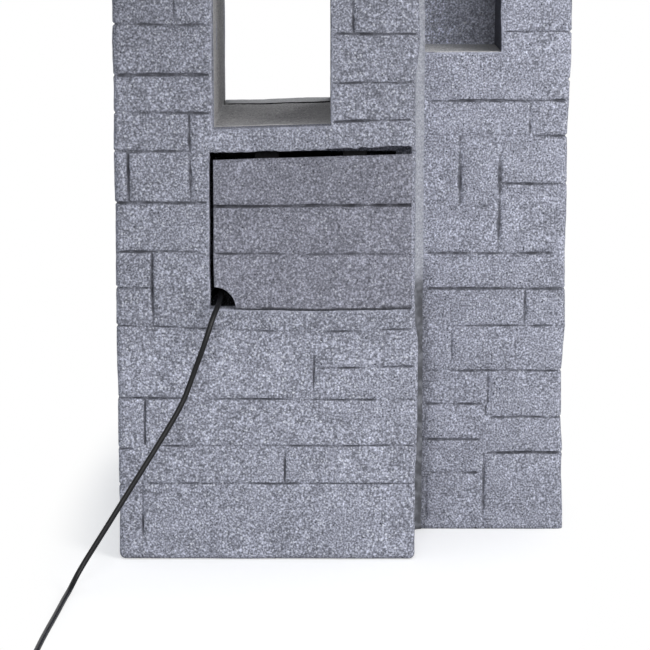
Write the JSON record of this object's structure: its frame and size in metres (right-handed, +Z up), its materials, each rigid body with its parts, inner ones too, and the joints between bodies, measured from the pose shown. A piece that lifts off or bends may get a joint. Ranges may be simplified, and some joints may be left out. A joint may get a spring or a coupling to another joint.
{
  "type": "garden wall fountain",
  "caption": "Free-standing garden wall fountain of two offset stone-look block columns with a window, a niche, a rear pump hatch, a front basin and a power cord.",
  "frame": {"origin": "on the ground, under the middle of the footprint of the columns and basin, without the cord", "axes": "+Z up, -Y towards the service side with the hatch and the power cord, +Y towards the water side with the basin, +X towards the narrow column"},
  "size_m": [0.664, 0.9869, 0.99],
  "materials": {
    "cast_stone": "matte cast cement with pale grit and small pits",
    "pale_stone": "matte pale cast cement",
    "mortar": "matte smooth mortar",
    "box_plastic": "matte",
    "hose_vinyl": "glossy, slightly clouded",
    "fitting_plastic": "satin",
    "knob_plastic": "satin",
    "soft_rubber": "matte",
    "steel": "satin",
    "pump_plastic": "satin, lightly textured",
    "resin": "glossy",
    "copper": "lacquered wire",
    "ferrite": "matte",
    "shaft_ceramic": "polished",
    "cord_jacket": "satin",
    "pin_brass": "polished"
  },
  "bodies": {
    "fountain": {"wall_column": "cast_stone", "window_liner": "cast_stone", "pier_column": "cast_stone", "wall_cap": "cast_stone", "pier_cap": "cast_stone", "front_basin": "cast_stone", "window_lip": "pale_stone", "spout_lip": "pale_stone", "rear_bead": "mortar", "front_bead": "mortar", "hatch_stops": "mortar", "wall_spill_box": "box_plastic", "pier_spill_box": "box_plastic", "return_fitting": "box_plastic", "return_nut": "box_plastic", "riser_hose": "hose_vinyl", "window_hose": "hose_vinyl", "pier_hose": "hose_vinyl", "flow_tee": "fitting_plastic", "outlet_nozzle": "fitting_plastic", "hose_grommet": "soft_rubber", "return_gaskets": "soft_rubber", "suction_feet": "soft_rubber", "rear_bush": "soft_rubber", "front_bush": "soft_rubber", "chamber_seal": "soft_rubber", "hose_clamps": "steel", "joining_bolts": "steel", "joining_washers": "steel", "joining_nuts": "steel", "stator_core": "steel", "pump_housing": "pump_plastic", "impeller_chamber": "pump_plastic", "motor_potting": "resin", "stator_windings": "copper", "rotor_shaft": "shaft_ceramic", "cord_gland": "cord_jacket", "pump_lead": "cord_jacket", "power_cord": "cord_jacket", "cord_coil": "cord_jacket", "plug_body": "cord_jacket", "plug_pins": "pin_brass"},
    "hatch": {"hatch_cover": "cast_stone"},
    "rotor": {"rotor_magnet": "ferrite", "impeller": "pump_plastic"},
    "strainer": {"intake_cover": "pump_plastic"},
    "dial": {"flow_dial": "knob_plastic"},
    "valve": {"valve_knob": "knob_plastic"},
    "bung": {"drain_plug": "soft_rubber"}
  },
  "joints": [
    {"name": "hatch_pull", "type": "slide", "parent": "fountain", "child": "hatch", "axis": [0, -1, 0], "range_m": [0, 0.15]},
    {"name": "rotor_spin", "type": "hinge", "parent": "fountain", "child": "rotor", "pos_m": [-0.0825, 0.0065, 0.06], "axis": [1, 0, 0], "continuous": true},
    {"name": "strainer_pull", "type": "slide", "parent": "fountain", "child": "strainer", "axis": [1, 0, 0], "range_m": [0, 0.06]},
    {"name": "flow_dial_turn", "type": "hinge", "parent": "strainer", "child": "dial", "pos_m": [-0.0502, 0.0065, 0.074], "axis": [1, 0, 0], "range_deg": [0, 90]},
    {"name": "valve_turn", "type": "hinge", "parent": "fountain", "child": "valve", "pos_m": [-0.0605, 0.0065, 0.34], "axis": [0, 0, 1], "range_deg": [0, 90]},
    {"name": "bung_pull", "type": "slide", "parent": "fountain", "child": "bung", "axis": [0, 1, 0], "range_m": [0, 0.04]}
  ]
}
